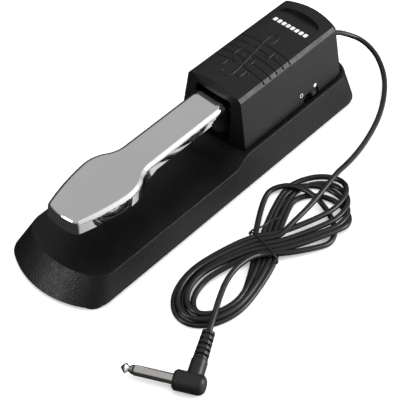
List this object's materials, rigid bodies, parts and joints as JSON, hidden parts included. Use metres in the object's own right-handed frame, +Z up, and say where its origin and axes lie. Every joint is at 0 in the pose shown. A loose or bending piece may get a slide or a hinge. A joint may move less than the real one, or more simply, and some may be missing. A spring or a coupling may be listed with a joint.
{
  "type": "sustain pedal",
  "caption": "Sprung foot pedal: a chromed pedal hinged inside a raked housing on a weighted base, with a slide switch, a tied cable and a right-angle jack plug.",
  "frame": {"origin": "on the floor, under the middle of the base", "axes": "+Z up, +Y along the base towards the cable end, -Y towards the player's toe, +X towards the side with the slide switch"},
  "size_m": [0.163, 0.3133, 0.0639],
  "materials": {
    "base_plastic": "finely grained black moulding",
    "plate_steel": "black powder coat",
    "foot_rubber": "matt dark rubber",
    "ballast_iron": "rough, unpainted",
    "screw_steel": "zinc plated",
    "housing_plastic": "satin charcoal moulding",
    "pedal_chrome": "polished plate",
    "lever_steel": "zinc plated bar",
    "nylon": "natural nylon",
    "spring_steel": "bright drawn wire",
    "buffer_rubber": "matt rubber",
    "stop_felt": "grey felt",
    "switch_plastic": "black thermoplastic",
    "plunger_plastic": "pale acetal",
    "board": "green laminate",
    "slide_metal": "tinned steel frame",
    "knob_plastic": "pale acetal",
    "cord_rubber": "smooth dark flexible sheath",
    "tie_plastic": "plastic coated wire",
    "plug_plastic": "moulded flexible plastic",
    "jack_metal": "nickel plate",
    "jack_ring": "black insulator",
    "wire_red": "red sleeve",
    "wire_black": "black sleeve"
  },
  "bodies": {
    "base": {"base_shell": "base_plastic", "bottom_plate": "plate_steel", "foot_front_left": "foot_rubber", "foot_front_right": "foot_rubber", "foot_rear_left": "foot_rubber", "foot_rear_right": "foot_rubber", "ballast_plate": "ballast_iron", "bottom_screws": "screw_steel", "ballast_screws": "screw_steel", "cover_screws": "screw_steel", "housing_cover": "housing_plastic", "pivot_pin": "spring_steel", "pin_clip": "screw_steel", "pivot_bracket": "lever_steel", "bracket_screws": "screw_steel", "return_spring": "spring_steel", "spring_seat": "nylon", "down_stop_buffer": "buffer_rubber", "up_stop_pad": "stop_felt", "push_switch_body": "switch_plastic", "circuit_board": "board", "board_screws": "screw_steel", "polarity_switch_body": "slide_metal", "cord_tube": "cord_rubber", "cord_tail": "cord_rubber", "cord_hank": "cord_rubber", "cord_tie": "tie_plastic", "cable_gland": "plug_plastic", "cable_inner": "cord_rubber", "cable_clamp": "nylon", "clamp_screws": "screw_steel", "cable_wire_a": "wire_red", "cable_wire_b": "wire_black", "switch_wire_a": "wire_red", "switch_wire_b": "wire_black", "plug_body": "plug_plastic", "plug_boot": "plug_plastic", "jack_sleeve": "jack_metal", "jack_insulator": "jack_ring", "jack_tip": "jack_metal"},
    "pedal": {"pedal_plate": "pedal_chrome", "lever_arm": "lever_steel", "pedal_studs": "screw_steel", "pedal_nuts": "screw_steel", "pivot_bush_left": "nylon", "pivot_bush_right": "nylon", "spring_cap": "nylon"},
    "push_plunger": {"push_switch_plunger": "plunger_plastic"},
    "polarity_knob": {"polarity_switch_knob": "knob_plastic"}
  },
  "joints": [
    {"name": "pedal_hinge", "type": "hinge", "parent": "base", "child": "pedal", "pos_m": [0, 0.10208, 0.0463], "axis": [1, 0, 0], "range_deg": [0, 5.5], "stiffness_Nm_per_rad": 15, "springref_deg": -5.73, "deforming": ["return_spring"]},
    {"name": "push_plunger_slide", "type": "slide", "parent": "base", "child": "push_plunger", "axis": [0, 0, -1], "range_m": [0, 0.0052]},
    {"name": "polarity_slide", "type": "slide", "parent": "base", "child": "polarity_knob", "axis": [0, -1, 0], "range_m": [0, 0.004]}
  ],
  "couplings": [
    {"joint": "push_plunger_slide", "follows": "pedal_hinge", "m_per_rad": 0.053}
  ]
}
